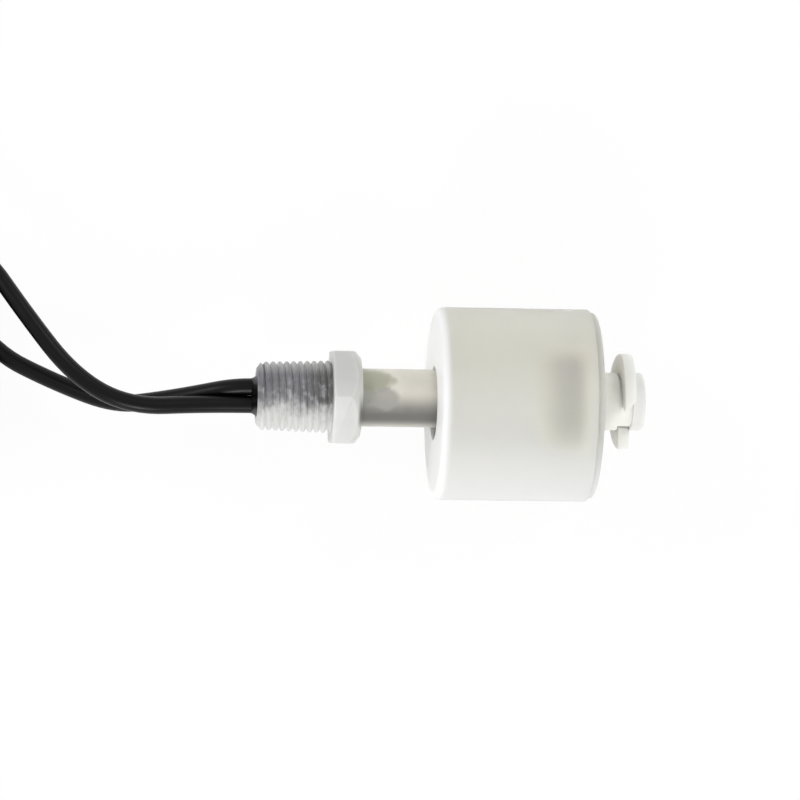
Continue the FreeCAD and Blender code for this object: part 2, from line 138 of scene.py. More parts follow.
ROUTE_A = [
    (-33.7, -0.56, 13.05),
    (-44.0, -1.15, 14.2),
    (-51.7, 3.0, 13.2),
    (-58.5, 11.6, 12.0),
    (-64.4, 19.9, 9.8),
    (-74.4, 25.6, 7.8),
    (-84.8, 23.0, 6.7),
]
ROUTE_B = [
    (-29.6, 1.86, 12.75),
    (-34.6, 0.8, 10.95),
    (-39.4, -0.1, 9.6),
    (-45.7, -1.0, 8.1),
    (-54.0, 2.05, 5.5),
    (-63.0, 6.4, 4.4),
]

# --- shades that show through the stem, in millimetres from the threaded end ---
POTTED_TO = 36, 42
REED_SHADE_TO = 27

# --- camera ---
AIM = Vector((-6.675 * MM, 0.38 * MM, 12.85 * MM))
CAMERA_AWAY = 0.6
CAMERA_YAW = radians(5.7)
CAMERA_ROLL = radians(0.91)
CAMERA_LENS = 195.75
SENSOR_WIDTH = 36

# --- floor and lamps: name, place, size in metres, power in watts ---
FLOOR_SIZE = 3
FLOOR_GLOW = 0.93          # share of plain white that a direct look at the floor shows
WORLD_LEVEL = 0.66
LAMPS = [
    ("key_light", (-0.1, -0.65, 0.45), 0.25, 2.1),
    ("far_light", (0.46, 0.42, 0.65), 0.25, 1.5),
    ("side_light", (-0.6, 0.25, 0.45), 0.35, 1.5),
]


def deselect():
    bpy.ops.object.select_all(action="DESELECT")


def choose(obj):
    deselect()
    obj.select_set(True)
    bpy.context.view_layer.objects.active = obj


# --- materials ---
def tone(red, green, blue):
    """Linear colour of a surface that shows as these 0 to 255 values in plain light."""
    channels = []
    for value in (red, green, blue):
        value = value / 255
        channels.append(value / 12.92 if value <= 0.04045 else ((value + 0.055) / 1.055) ** 2.4)
    return (*channels, 1)


MOULDING = tone(219, 219, 217), tone(210, 210, 208)
FAR_STEM, STEM_TIP = tone(244, 244, 238), tone(231, 231, 228)
# painted shade of the hexagon's upper side
HEX_UPPER_SHADE = tone(150, 150, 148)
# painted shade of the thread's upper part, over the dark core seen through the wall
THREAD_SHADE_AND_CORE = tone(134, 134, 134)
# painted shade on the thread's crests and painted light in its valleys
THREAD_CREST_SHADE = tone(188, 188, 186)
THREAD_VALLEY_LIGHT = tone(242, 242, 240)
LEADS_INSIDE = tone(98, 98, 103), tone(128, 128, 134)
LEADS_NEAR_HEX = tone(86, 87, 86)
LEADS_PALE = tone(168, 168, 172)
LEADS_STREAK = tone(70, 70, 74)
POTTING = tone(226, 223, 214), tone(214, 211, 202)
REED_SHADE = tone(85, 84, 82)
JOINT_SIDE, JOINT, JOINT_LUMPS = tone(152, 153, 146), tone(166, 166, 148), tone(168, 166, 161)
FLOAT_TONES = tone(255, 254, 245), tone(252, 250, 239)
# painted shade of the float's upper side, with a warmer tint
FLOAT_UPPER_SHADE_AND_TINT = tone(249, 244, 233)
# opaque end wall, also mixed into the float's lower side as painted light
FLOAT_END_AND_LIT_UNDERSIDE = tone(254, 254, 249)
# painted shadow of the magnet on the float's wall
MAGNET_SHADE = tone(198, 199, 195)


class Term:
    """A socket's output that sums and products can be written with."""

    def __init__(self, finish, socket):
        self.finish = finish
        self.socket = socket

    def math(self, operation, first, second=None):
        values = {0: first} if second is None else {0: first, 1: second}
        return self.finish.node("ShaderNodeMath", {"operation": operation}, values)

    def __add__(self, other):
        return self.math("ADD", self, other)

    def __sub__(self, other):
        return self.math("SUBTRACT", self, other)

    def __mul__(self, other):
        return self.math("MULTIPLY", self, other)

    def __truediv__(self, other):
        return self.math("DIVIDE", self, other)

    def __rsub__(self, other):
        return self.math("SUBTRACT", other, self)

    def __pow__(self, other):
        return self.math("POWER", self, other)

    def __abs__(self):
        return self.math("ABSOLUTE", self)

    __radd__ = __add__
    __rmul__ = __mul__

    def above(self, low, high):
        """0 below low, 1 above high, and a smooth step between."""
        return self.finish.node(
            "ShaderNodeMapRange", {"interpolation_type": "SMOOTHSTEP"}, {0: self, 1: low, 2: high}
        )

    def within(self, low, high, soft):
        """1 from low to high, fading to 0 over soft on each side."""
        return self.above(low - soft, low) * (1 - self.above(high, high + soft))


class Finish:
    """One material: a Principled shader whose inputs are set by name."""

    def __init__(self, name, **constants):
        self.material = bpy.data.materials.new(name)
        self.material.use_nodes = True
        self.nodes = self.material.node_tree.nodes
        self.links = self.material.node_tree.links
        self.shader = self.nodes["Principled BSDF"]
        for socket, value in constants.items():
            self.shader.inputs[socket.replace("_", " ")].default_value = value
        self.place = self.node("ShaderNodeTexCoord", {}, {}, "Object")

    def node(self, kind, settings, values, output=0):
        made = self.nodes.new(kind)
        for key, value in settings.items():
            setattr(made, key, value)
        for key, value in values.items():
            self.feed(made.inputs[key], value)
        return Term(self, made.outputs[output])

    def feed(self, socket, value):
        if isinstance(value, Term):
            self.links.new(value.socket, socket)
        else:
            socket.default_value = value

    def set(self, socket, value):
        self.feed(self.shader.inputs[socket], value)

    def axes(self, x, y, z):
        """The three coordinates in millimetres from a point given in metres."""
        moved = self.node("ShaderNodeVectorMath", {"operation": "SUBTRACT"}, {0: self.place, 1: (x, y, z)})
        scaled = self.node("ShaderNodeVectorMath", {"operation": "SCALE"}, {0: moved, 3: 1 / MM})
        split = self.node("ShaderNodeSeparateXYZ", {}, {0: scaled})
        outputs = split.socket.node.outputs
        return [Term(self, outputs[i]) for i in range(3)]

    def noise(self, size, detail=2.0, rough=0.5, squeeze=(1, 1, 1)):
        """Clouds from 0 to 1 with patches about size across, drawn out where squeeze is low."""
        place = self.node("ShaderNodeVectorMath", {"operation": "MULTIPLY"}, {0: self.place, 1: squeeze})
        return self.node(
            "ShaderNodeTexNoise",
            {},
            {"Vector": place, "Scale": 1 / size, "Detail": detail, "Roughness": rough},
        )

    def mix(self, amount, first, second):
        return self.node("ShaderNodeMix", {"data_type": "RGBA"}, {0: amount, 6: first, 7: second}, 2)

    def surface(self):
        return Term(self, self.shader.outputs[0])

    def blend(self, amount, first, second):
        return self.node("ShaderNodeMixShader", {}, {0: amount, 1: first, 2: second})

    def show(self, surface):
        self.feed(self.nodes["Material Output"].inputs["Surface"], surface)

    def bump(self, height, distance, strength=1.0):
        self.set(
            "Normal",
            self.node("ShaderNodeBump", {}, {"Height": height, "Distance": distance, "Strength": strength}),
        )


def milky(depth):
    """Constants of a plastic that light gets this far into."""
    return {"Subsurface_Weight": 1.0, "Subsurface_Radius": (1, 1, 1), "Subsurface_Scale": depth}


def moulding_speckle(finish, size=0.35 * MM, depth=0.004 * MM):
    finish.bump(finish.noise(size, 3.0), depth, 0.6)


def blotch(first, second, centre, half, wander):
    """Round soft patch: 1 inside, fading at about half the given sizes from centre."""
    x = (first - centre[0]) / half[0]
    y = (second - centre[1]) / half[1]
    return 1 - (x * x + y * y + wander).above(0.45, 1.35)


def stem_base(finish, along, across, cloud):
    """Tones of the bare moulding: thread and tube and the paler tip, with painted shade on the hexagon's
    upper side.
    """
    length = STEM_LENGTH / MM
    colour = finish.mix(cloud, *MOULDING)
    tip = along.above(length - 1.9, length - 1.6)
    colour = finish.mix(along.above(*POTTED_TO), colour, finish.mix(tip, FAR_STEM, STEM_TIP))
    in_hex = along.within(THREAD_LENGTH / MM + 0.05, HEX_BACK / MM + 0.02, 0.1)
    # Painted shade: the hexagon is darker towards its upper (+Y) side, as the light falls from the -Y side.
    return finish.mix(in_hex * across.above(-2.0, 4.0) * 0.25, colour, HEX_UPPER_SHADE)


def thread_shades(finish, colour, along, across, up, wander):
    """Streaky dark shade of the leads seen through the wall, painted shade over the upper half of the
    thread as light falls from the -Y side, painted shade on the crests and painted light in the valleys.
    """
    end = THREAD_LENGTH / MM
    fine = finish.noise(0.5 * MM, 3.0, 0.65)
    streak = finish.noise(0.4 * MM, 3.0, 0.65, (1, 0.12, 0.12))
    in_thread = 1 - along.above(end - 0.25, end + 0.05)
    # The leads inside show through as a dark patch, kept to the upper (+Y) half as painted shade, since
    # light from the -Y side washes out the lower half.
    border = across + along * 0.08 + 0.15 + wander * 5 + (fine - 0.5) * 2.5
    leads = border.above(-2.6, 1.0) * (1 - across.above(2.7, 5.0) * 0.6) * in_thread

    radius = (across * across + up * up) ** 0.5 - along * THREAD_TAPER
    root = (THREAD_CREST_R - THREAD_DEPTH) / MM
    valley = (1 - radius.above(root, root + THREAD_DEPTH / MM)) * along.within(1.2, end - 0.5, 0.2)
    crest = (1 - valley) * (1 - leads) * along.within(1.2, end - 0.3, 0.2)
    # Painted shade: the thread darkens towards its upper (+Y) side, as light falls from the -Y side, over
    # the dark core that shows through the wall.
    shade_and_core = (1 - valley * 0.7) * across.above(-4.8, 0.6) * (0.5 + streak.above(0.4, 0.7)) * in_thread

    shade = finish.mix(fine, *LEADS_INSIDE)
    shade = finish.mix(along.above(5.6, 8.6), shade, LEADS_NEAR_HEX)
    pale = finish.noise(1.2 * MM, 2.0).above(0.5, 0.62) * (1 - across.above(1.2, 3.0))
    shade = finish.mix(pale * 0.7, shade, LEADS_PALE)
    shade = finish.mix(streak.above(0.58, 0.68) * 0.6, shade, LEADS_STREAK)
    colour = finish.mix(shade_and_core * 0.66, colour, THREAD_SHADE_AND_CORE)
    colour = finish.mix(leads * 0.95, colour, shade)
    # Painted shade on the crests and painted light in the valleys flatten the thread's own light and shade.
    colour = finish.mix(crest * 0.3, colour, THREAD_CREST_SHADE)
    return finish.mix(valley * (1 - leads * 0.75) * 0.7, colour, THREAD_VALLEY_LIGHT)


def tube_shades(finish, colour, along, across, cloud, wander):
    """Beige potting behind the tube's wall, the reed switch's dark shade, and the solder joint."""
    back = HEX_BACK / MM
    potted = along.above(back - 0.2, back + 0.8) * (1 - along.above(*POTTED_TO))
    colour = finish.mix(potted, colour, finish.mix(cloud, *POTTING))
    dark = along.within(back - 0.2, REED_SHADE_TO, 0.6)
    dark = dark * (-1 * across - wander * 0.5).above(-1.0, 2.4) * across.above(-4.6, -2.9)
    colour = finish.mix(dark * 0.86, colour, REED_SHADE)
    off_hex = along.above(back + 0.02, back + 0.3)
    side = blotch(along, across, (back + 0.4, 0.4), (1.6, 1.6), wander * 1.5)
    colour = finish.mix(side * off_hex * 0.8, colour, JOINT_SIDE)
    solder = blotch(along, across, (back + 1.6, 2.3), (3.0, 1.6), wander * 1.2)
    colour = finish.mix(solder * off_hex * 0.85, colour, JOINT)
    lumps = blotch(along, across, (back + 3.1, -0.1), (2.0, 1.8), wander * 1.8)
    return finish.mix(lumps * 0.85, colour, JOINT_LUMPS)


def stem_finish():
    """Milky plastic with what is potted inside showing through the wall as soft shades."""
    finish = Finish("milky_stem_plastic", Roughness=0.45, IOR=1.4, **milky(0.6 * MM))
    along, across, up = finish.axes(STEM_X, STEM_Y, STEM_Z)
    cloud = finish.noise(1.8 * MM, 3.0)
    wander = cloud - 0.5
    colour = stem_base(finish, along, across, cloud)
    colour = thread_shades(finish, colour, along, across, up, wander)
    colour = tube_shades(finish, colour, along, across, cloud, wander)
    finish.set("Base Color", colour)
    moulding_speckle(finish)
    return finish.material


def float_finish():
    """Thin milky plastic that lets the magnet show softly, with a painted shadow over it; opaque at the
    thicker end wall, and partly opaque and brighter on its lower side as painted light.
    """
    finish = Finish("milky_float_plastic", IOR=1.2, Transmission_Weight=0.47, **milky(0.8 * MM))
    along, across, _ = finish.axes(FLOAT_X, 0, FLOAT_Z)
    colour = finish.mix(finish.noise(7 * MM, 2.0), *FLOAT_TONES)
    # Painted shade: the float is darker towards its upper (+Y) side, as light falls from the -Y side, and
    # warmer in tint there.
    colour = finish.mix(across.above(-4, 8) * 0.6, colour, FLOAT_UPPER_SHADE_AND_TINT)
    # Painted shadow of the magnet: darker over it, spreading 5 mm towards the end wall, fading away from
    # the axis and on the lower (-Y) side.
    near, far = (magnet_low[0] - FLOAT_X) / MM, (magnet_high[0] - FLOAT_X) / MM
    magnet = along.above(near - 5.0, near + 1.0) * (1 - along.above(far - 1.8, far + 0.4))
    magnet = magnet * (1 - abs(across).above(5.0, 8.5)) * across.above(-9, -2)
    finish.set("Base Color", finish.mix(magnet * 0.5, colour, MAGNET_SHADE))
    finish.set("Roughness", 0.32 + 0.1 * finish.noise(1.5 * MM))
    moulding_speckle(finish)
    opaque_end_and_lit = finish.node("ShaderNodeBsdfPrincipled", {}, {
        "Base Color": FLOAT_END_AND_LIT_UNDERSIDE,
        "Roughness": 0.4,
        "IOR": 1.3,
        "Subsurface Weight": 1.0,
        "Subsurface Radius": (1, 1, 1),
        "Subsurface Scale": 0.8 * MM,
    })
    end = 1 - along.above(0.1, 1.5)
    # Painted light: up to half of the brighter opaque finish on the lower (-Y) side, as light falls from
    # that side.
    lit_underside = (1 - across.above(-12, -3)) * 0.5
    finish.show(finish.blend(end + (1 - end) * lit_underside, finish.surface(), opaque_end_and_lit))
    return finish.material


def plain_finish(name, light, dark, roughness, patch, metallic=0.0, **constants):
    """Even material with slight clouds between two tones and a fine surface."""
    finish = Finish(name, Metallic=metallic, **constants)
    cloud = finish.noise(patch, 3.0)
    finish.set("Base Color", finish.mix(cloud, light, dark))
    finish.set("Roughness", roughness - 0.08 + 0.16 * cloud)
    moulding_speckle(finish, patch / 4)
    return finish.material


PLAIN = {
    "clip_plastic": plain_finish(
        "clip_plastic", tone(241, 241, 238), tone(236, 236, 232), 0.4, 1.5 * MM, **milky(0.8 * MM)
    ),
    "ferrite": plain_finish("ferrite", tone(34, 34, 36), tone(24, 24, 26), 0.6, 0.8 * MM),
    "black_sealant": plain_finish(
        "black_sealant", tone(14, 14, 15), tone(8, 8, 9), 0.2, 0.8 * MM, Specular_IOR_Level=0.35
    ),
    "potting_resin": plain_finish(
        "potting_resin", tone(196, 180, 140), tone(170, 152, 112), 0.25, 2 * MM
    ),
    "reed_glass": plain_finish(
        "reed_glass", tone(214, 236, 222), tone(196, 224, 208), 0.1, 2 * MM, Transmission_Weight=0.85
    ),
    "reed_metal": plain_finish(
        "reed_metal", tone(196, 194, 188), tone(170, 168, 160), 0.3, 0.6 * MM, metallic=1.0
    ),
    "solder": plain_finish(
        "solder", tone(176, 178, 180), tone(140, 142, 144), 0.38, 0.5 * MM, metallic=1.0
    ),
    "black_pvc": plain_finish(
        "black_pvc", tone(5, 4, 6), tone(3, 3, 4), 0.34, 1.5 * MM, Specular_IOR_Level=0.22
    ),
    "tinned_copper": plain_finish(
        "tinned_copper", tone(205, 203, 198), tone(170, 166, 158), 0.3, 0.4 * MM, metallic=1.0
    ),
    "tie_nylon": plain_finish("tie_nylon", tone(232, 231, 224), tone(218, 217, 208), 0.42, 1 * MM),
}


# --- modelling ---
def turned(name, profile, centre, steps=160, closed=True):
    """Solid of revolution about the X direction through centre, from (x, r) stations in order.

    A closed profile goes round a wall and ends where it starts. An open one has flat ends.
    """
    deselect()
    x, r = profile[0]
    middle = Vector(centre)
    bpy.ops.mesh.primitive_circle_add(
        vertices=steps,
        radius=r,
        fill_type="NOTHING" if closed else "NGON",
        location=middle + Vector((x, 0, 0)),
        rotation=(0, pi / 2, 0),
    )
    obj = bpy.context.object
    obj.name = name
    bpy.ops.object.transform_apply(location=True, rotation=True, scale=True)
    bpy.ops.object.mode_set(mode="EDIT")
    bpy.ops.mesh.select_all(action="SELECT")
    stations = profile[1:] + (profile[:1] if closed else [])
    extrude = bpy.ops.mesh.extrude_edges_move if closed else bpy.ops.mesh.extrude_region_move
    for to_x, to_r in stations:
        extrude(TRANSFORM_OT_translate={"value": (to_x - x, 0, 0)})
        scale = to_r / r
        bpy.ops.transform.resize(value=(1, scale, scale), center_override=middle + Vector((to_x, 0, 0)))
        x, r = to_x, to_r
    bpy.ops.mesh.select_all(action="SELECT")
    bpy.ops.mesh.remove_doubles(threshold=1e-6)
    bpy.ops.mesh.normals_make_consistent(inside=False)
    bpy.ops.object.mode_set(mode="OBJECT")
    return obj


def corner_arc(x, r, radius, from_deg, to_deg, count=6):
    """Stations of a rounded corner about (x, r)."""
    angles = [radians(from_deg + (to_deg - from_deg) * i / count) for i in range(count + 1)]
    return [(x + radius * cos(angle), r + radius * sin(angle)) for angle in angles]


def apply(obj, kind, **settings):
    """Add a modifier with these settings and apply it."""
    choose(obj)
    modifier = obj.modifiers.new(kind.title(), kind)
    for key, value in settings.items():
        setattr(modifier, key, value)
    bpy.ops.object.modifier_apply(modifier=modifier.name)


def soften(obj, width, segments=2, angle=30):
    apply(
        obj, "BEVEL", width=width, segments=segments, limit_method="ANGLE", angle_limit=radians(angle)
    )


def boolean(obj, other, operation):
    apply(obj, "BOOLEAN", object=other, operation=operation, solver="EXACT")
    bpy.data.objects.remove(other)


def smooth(obj, angle=30):
    choose(obj)
    bpy.ops.object.shade_smooth_by_angle(angle=radians(angle))


def join(first, *others):
    deselect()
    for obj in (first, *others):
        obj.select_set(True)
    bpy.context.view_layer.objects.active = first
    bpy.ops.object.join()
    return first


def dress(obj, material, body, slot, *nodes):
    obj.data.materials.clear()
    obj.data.materials.append(material)
    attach(obj, body)
    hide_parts(*nodes)


STEM_CENTRE = (STEM_X, STEM_Y, STEM_Z)
FLOAT_CENTRE = (FLOAT_X, 0, FLOAT_Z)


def thread_wave():
    """The turns of one wave screwed round the X axis, as an open skin."""
    root = THREAD_CREST_R - THREAD_DEPTH
    profile = [
        (THREAD_PITCH * i / THREAD_STEPS, root + THREAD_DEPTH * sin(pi * i / THREAD_STEPS))
        for i in range(THREAD_STEPS + 1)
    ]
    deselect()
    bpy.ops.mesh.primitive_plane_add(size=1, location=(0, 0, 0))
    obj = bpy.context.object
    obj.name = "thread_body"
    bpy.ops.object.mode_set(mode="EDIT")
    bpy.ops.mesh.select_all(action="SELECT")
    bpy.ops.mesh.merge(type="CENTER")
    bpy.ops.transform.translate(value=(0, 0, root))
    for (x0, r0), (x1, r1) in zip(profile, profile[1:]):
        bpy.ops.mesh.extrude_vertices_move(TRANSFORM_OT_translate={"value": (x1 - x0, 0, r1 - r0)})
    bpy.ops.object.mode_set(mode="OBJECT")
    apply(
        obj,
        "SCREW",
        axis="X",
        angle=2 * pi,
        screw_offset=THREAD_PITCH,
        iterations=int(THREAD_LENGTH / THREAD_PITCH) + THREAD_EXTRA_TURNS,
        steps=THREAD_SIDES,
        render_steps=THREAD_SIDES,
        use_merge_vertices=True,
        merge_threshold=1e-6,
    )
    return obj


def thread_body():
    """Taper thread, widened along its length, cut to length and bevelled at the small end."""
    obj = thread_wave()
    start = THREAD_START - THREAD_EXTRA_TURNS / 2 * THREAD_PITCH
    for vertex in obj.data.vertices:
        vertex.co.x += start
        grow = 1 + vertex.co.x * THREAD_TAPER / THREAD_CREST_R
        vertex.co.y *= grow
        vertex.co.z *= grow
    bpy.ops.object.mode_set(mode="EDIT")
    bpy.ops.mesh.select_all(action="SELECT")
    bpy.ops.mesh.remove_doubles(threshold=5e-6)
    for x, normal in ((-THREAD_PITCH, -1), (THREAD_LENGTH + THREAD_PITCH, 1)):
        bpy.ops.mesh.select_all(action="SELECT")
        bpy.ops.mesh.bisect(
            plane_co=(x, 0, 0), plane_no=(normal, 0, 0), clear_outer=True, use_fill=True, threshold=1e-7
        )
    bpy.ops.mesh.select_all(action="SELECT")
    bpy.ops.mesh.normals_make_consistent(inside=False)
    bpy.ops.object.mode_set(mode="OBJECT")
    obj.location = STEM_CENTRE
    choose(obj)
    bpy.ops.object.transform_apply(location=True, rotation=True, scale=True)
    envelope = turned("envelope", [
        (0.15 * MM, THREAD_CREST_R - 0.8 * MM),
        (0.75 * MM, THREAD_CREST_R),
        (THREAD_LENGTH + 0.3 * MM, THREAD_CREST_R + 0.4 * MM),
    ], STEM_CENTRE, closed=False)
    boolean(obj, envelope, "INTERSECT")
    return obj


def bore(x_from, x_to):
    return turned("bore", [(x_from, BORE_R), (x_to, BORE_R)], STEM_CENTRE, 96, closed=False)


def hexagon():
    """Hexagon bevelled to a cone on the stem side."""
    deselect()
    bpy.ops.mesh.primitive_cylinder_add(
        vertices=6,
        radius=HEX_FLATS / 2 / cos(pi / 6),
        depth=HEX_THICK,
        location=(STEM_X + THREAD_LENGTH + HEX_THICK / 2, STEM_Y, STEM_Z),
        rotation=(0, pi / 2, 0),
    )
    obj = bpy.context.object
    obj.name = "hexagon"
    bpy.ops.object.transform_apply(location=True, rotation=True, scale=True)
    bpy.ops.object.mode_set(mode="EDIT")
    bpy.ops.mesh.select_all(action="SELECT")
    bpy.ops.transform.rotate(value=pi / 6, orient_axis="X", center_override=STEM_CENTRE)
    bpy.ops.object.mode_set(mode="OBJECT")
    face_r = HEX_FLATS / 2 - HEX_CHAMFER_RADIAL
    envelope = turned("envelope", [
        (THREAD_LENGTH - MM, face_r + HEX_CHAMFER_SLOPE * (HEX_THICK + MM)),
        (HEX_BACK, face_r),
    ], STEM_CENTRE, 192, closed=False)
    boolean(obj, envelope, "INTERSECT")
    soften(obj, 0.18 * MM, 3, 20)
    return obj


def stem_tube():
    """Plain round part of the stem with the clip's groove and a rounded tip."""
    return turned("stem_tube", [
        (HEX_BACK - 0.5 * MM, STEM_R),
        (GROOVE_FROM, STEM_R),
        (GROOVE_FROM, GROOVE_R),
        (GROOVE_TO, GROOVE_R),
        (GROOVE_TO, STEM_R),
        *corner_arc(STEM_LENGTH - TIP_ROUND, STEM_R - TIP_ROUND, TIP_ROUND, 90, 0),
    ], STEM_CENTRE, 128, closed=False)


def make_stem():
    thread = thread_body()
    boolean(thread, bore(-MM, THREAD_LENGTH + MM), "DIFFERENCE")
    smooth(thread, 40)
    hexa = hexagon()
    boolean(hexa, bore(THREAD_LENGTH - MM, HEX_BACK + MM), "DIFFERENCE")
    smooth(hexa, 25)
    tube = stem_tube()
    boolean(tube, bore(THREAD_LENGTH + MM, BORE_END), "DIFFERENCE")
    smooth(tube, 35)
    body = join(thread, hexa, tube)
    body.name = "stem_moulding"
    dress(body, stem_finish(), "stem", "natural_polypropylene", "stem")


def make_shell(material):
    """Outer wall, rounded end wall and inner tube with the magnet's shoulder, in one wall."""
    inner_r = FLOAT_R - FLOAT_WALL
    seat = magnet_low[0] - FLOAT_X - MAGNET_CLEAR
    lip, fillet = SHELL_LIP_ROUND, SHELL_INNER_ROUND
    shell = turned("float_body", [
        (0, TUBE_BORE_R),
        *corner_arc(FLOAT_EDGE, FLOAT_R - FLOAT_EDGE, FLOAT_EDGE, 180, 90, 10),
        *corner_arc(SHELL_LENGTH - lip, FLOAT_R - lip, lip, 90, 0, 3),
        (SHELL_LENGTH, inner_r),
        *corner_arc(FLOAT_WALL + fillet, inner_r - fillet, fillet, 90, 180, 4),
        (FLOAT_WALL, SHOULDER_R),
        (seat, SHOULDER_R),
        (seat, TUBE_R),
        (FLOAT_LENGTH, TUBE_R),
        (FLOAT_LENGTH, TUBE_BORE_R),
    ], FLOAT_CENTRE, 192)
    smooth(shell, 35)
    dress(shell, material, "float", "float_polypropylene", "float_shell")


def make_cap(material):
    """Disc with a rounded rim, a skirt in the shell and a collar that holds the magnet."""
    disc_from = FLOAT_LENGTH - CAP_DISC_THICK
    collar_from = magnet_high[0] - FLOAT_X + MAGNET_CLEAR
    hole_r = TUBE_R + CAP_CLEAR
    skirt_r = FLOAT_R - FLOAT_WALL - CAP_CLEAR
    skirt_from = cap_low[0] - FLOAT_X
    edge = CAP_EDGE_ROUND
    cap = turned("float_end_cap", [
        (collar_from, hole_r),
        (FLOAT_LENGTH, hole_r),
        *corner_arc(FLOAT_LENGTH - edge, CAP_RIM_R - edge, edge, 0, 90, 5),
        (SHELL_LENGTH, CAP_RIM_R),
        (SHELL_LENGTH, skirt_r),
        (skirt_from, skirt_r),
        (skirt_from, skirt_r - CAP_WALL),
        (disc_from, skirt_r - CAP_WALL),
        (disc_from, hole_r + COLLAR_WALL),
        (collar_from, hole_r + COLLAR_WALL),
    ], FLOAT_CENTRE, 192)
    smooth(cap, 35)
    dress(cap, material, "float", "float_polypropylene", "float_cap")


def make_magnet():
    low, high = magnet_low[0] - FLOAT_X, magnet_high[0] - FLOAT_X
    magnet = turned("ferrite_ring", [
        (low, MAGNET_IN_R), (low, MAGNET_OUT_R), (high, MAGNET_OUT_R), (high, MAGNET_IN_R),
    ], FLOAT_CENTRE, 128)
    soften(magnet, 0.15 * MM)
    smooth(magnet)
    dress(magnet, PLAIN["ferrite"], "magnet", "ferrite", "ring_magnet")


def make_seal():
    """Compound drawn up round the two leads like a meniscus, flatter towards its outer edge."""
    plug_r = BORE_R - SEAL_CLEAR
    seal = turned("sealant_collar", [
        (-SEAL_PROUD, SEAL_EDGE_R),
        (-0.35 * MM, SEAL_EDGE_R + 0.08 * MM),
        (-0.08 * MM, SEAL_EDGE_R + 0.26 * MM),
        (0.14 * MM, SEAL_EDGE_R + 0.58 * MM),
        (0.16 * MM, plug_r),
        (SEAL_DEPTH, plug_r),
    ], STEM_CENTRE, 96, closed=False)
    for vertex in seal.data.vertices:
        beyond = (STEM_X - vertex.co.x) / SEAL_PROUD
        if beyond > 0:
            vertex.co.z = STEM_Z + (vertex.co.z - STEM_Z) * (1 - SEAL_FLATTENED * beyond)
    smooth(seal, 50)
    dress(seal, PLAIN["black_sealant"], "stem", "black_sealant", "lead_seal")


def frame_object(node):
    for obj in bpy.context.scene.objects:
        if obj.get("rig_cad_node") == node or obj.name == node:
            return obj
    raise KeyError(node)


def make_clip():
    """The snap ring: a copy of its construction with the edges softened."""
    node = frame_object("retaining_clip")
    ring = node.copy()
    ring.data = node.data.copy()
    for key in list(ring.keys()):
        if key.startswith("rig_"):
            del ring[key]
    bpy.context.scene.collection.objects.link(ring)
    ring.name = "snap_ring"
    choose(ring)
    bpy.ops.object.mode_set(mode="EDIT")
    bpy.ops.mesh.select_all(action="SELECT")
    bpy.ops.mesh.remove_doubles(threshold=1e-6)
    bpy.ops.mesh.dissolve_limited(angle_limit=radians(1))
    bpy.ops.object.mode_set(mode="OBJECT")
    soften(ring, 0.14 * MM, 2, 30)
    smooth(ring, 40)
    dress(ring, PLAIN["clip_plastic"], "stem", "white_polypropylene", "retaining_clip")


# --- leads ---
def ring_point(at_deg, radius, z):
    angle = radians(at_deg)
    return Vector((COIL_X + radius * cos(angle), COIL_Y + radius * sin(angle), z))


def wind(points, at, stages):
    """Add turns to a list of points. A stage is (degrees, radius, height) to reach evenly."""
    angle, radius, z = at
    for sweep, to_radius, to_z in stages:
        count = max(2, round(TURN_POINTS * sweep / 360))
        for i in range(1, count + 1):
            share = i / count
            points.append(ring_point(
                angle + sweep * share, radius + (to_radius - radius) * share, z + (to_z - z) * share
            ))
        angle, radius, z = angle + sweep, to_radius, to_z


def lead_curve(name, points):
    """Round lead along one smooth spline."""
    data = bpy.data.curves.new(name, "CURVE")
    data.dimensions = "3D"
    spline = data.splines.new("NURBS")
    spline.points.add(len(points) - 1)
    for place, point in zip(spline.points, points):
        place.co = (*point, 1)
        place.radius = LEAD_R
    spline.order_u = 3
    spline.use_endpoint_u = True
    spline.resolution_u = 8
    data.bevel_depth = 1
    data.bevel_resolution = 6
    data.use_fill_caps = True
    obj = bpy.data.objects.new(name, data)
    bpy.context.scene.collection.objects.link(obj)
    return obj


def spline_length(obj):
    """Length of a lead's middle line."""
    data = obj.data
    data.bevel_depth = 0
    line = bpy.data.meshes.new_from_object(obj)
    data.bevel_depth = 1
    places = [vertex.co.copy() for vertex in line.vertices]
    bpy.data.meshes.remove(line)
    return sum((b - a).length for a, b in zip(places, places[1:]))


def route(exit_y, points):
    return [Vector((EXIT_X, exit_y, STEM_Z))] + [Vector(point) * MM for point in points]


def two_layers(entry, first, second, last):
    """Stages of a lead that winds a row outside and inside, then the next row inside and outside."""
    out, inn = COIL_OUT_R, COIL_IN_R
    return [
        (360 - CHANGE, out, first),
        (CHANGE, inn, first),
        (360 - 2 * CHANGE, inn, first),
        (CHANGE, inn, second),
        (360 - 2 * CHANGE, inn, second),
        (CHANGE, out, second),
        (last - entry + 2 * CHANGE, out, second),
    ]


def points_of_lead_a():
    """From the seal to the coil's third and fourth rows, ending on top of the coil."""
    points = route(STEM_Y - LEAD_OFF, ROUTE_A)
    points.append(ring_point(ENTER_A - 12, COIL_OUT_R + 0.3 * MM, ROW_Z[2] + 0.1 * MM))
    points.append(ring_point(ENTER_A, COIL_OUT_R, ROW_Z[2]))
    wind(points, (ENTER_A, COIL_OUT_R, ROW_Z[2]), two_layers(ENTER_A, ROW_Z[2], ROW_Z[3], LAST_A))
    points += [
        ring_point(-8, COIL_OUT_R - 0.6 * MM, ROW_Z[3] + 0.8 * MM),
        ring_point(10, COIL_IN_R + 0.5 * MM, ROW_Z[4] - 0.3 * MM),
        ring_point(28, COIL_IN_R, ROW_Z[4]),
        ring_point(46, COIL_IN_R, ROW_Z[4]),
    ]
    return points


